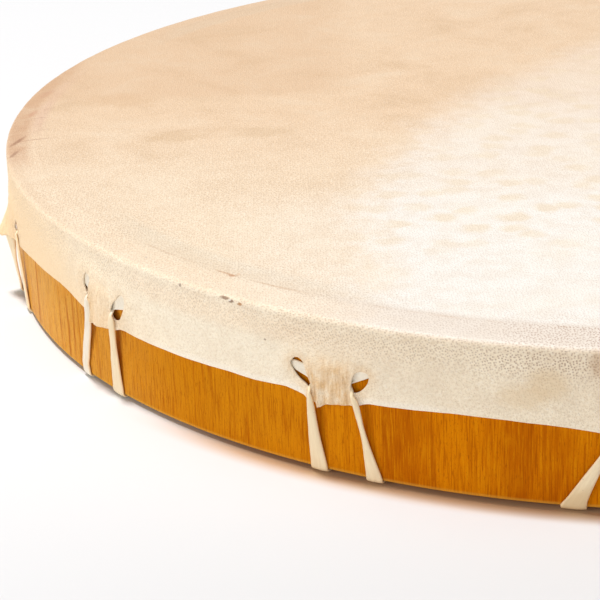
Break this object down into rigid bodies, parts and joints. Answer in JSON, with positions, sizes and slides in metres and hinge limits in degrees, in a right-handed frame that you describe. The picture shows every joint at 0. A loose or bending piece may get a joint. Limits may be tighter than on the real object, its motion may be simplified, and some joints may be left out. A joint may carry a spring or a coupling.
{
  "type": "frame drum",
  "caption": "Shallow round frame drum: rawhide head pulled over a lacquered wooden hoop and laced through paired holes, under the hoop, to a steel hand ring.",
  "frame": {"origin": "on the drum's axis, on the plane that it rests on when it lies on its open back", "axes": "+Z along the drum's axis, from the open laced back to the playing surface; -Y is the front side of the hoop"},
  "size_m": [0.5039, 0.5041, 0.0539],
  "materials": {
    "lacquered_wood": "gloss",
    "rawhide": "matte",
    "rawhide_lace": "satin",
    "ring_steel": "satin"
  },
  "bodies": {
    "root": {"hoop": "lacquered_wood", "drumhead": "rawhide", "hand_ring": "ring_steel", "lace_01": "rawhide_lace", "lace_02": "rawhide_lace", "lace_03": "rawhide_lace", "lace_04": "rawhide_lace", "lace_05": "rawhide_lace", "lace_06": "rawhide_lace", "lace_07": "rawhide_lace", "lace_08": "rawhide_lace", "lace_09": "rawhide_lace", "lace_10": "rawhide_lace", "lace_11": "rawhide_lace", "lace_12": "rawhide_lace", "lace_13": "rawhide_lace", "lace_14": "rawhide_lace", "lace_15": "rawhide_lace", "lace_16": "rawhide_lace"}
  },
  "joints": []
}
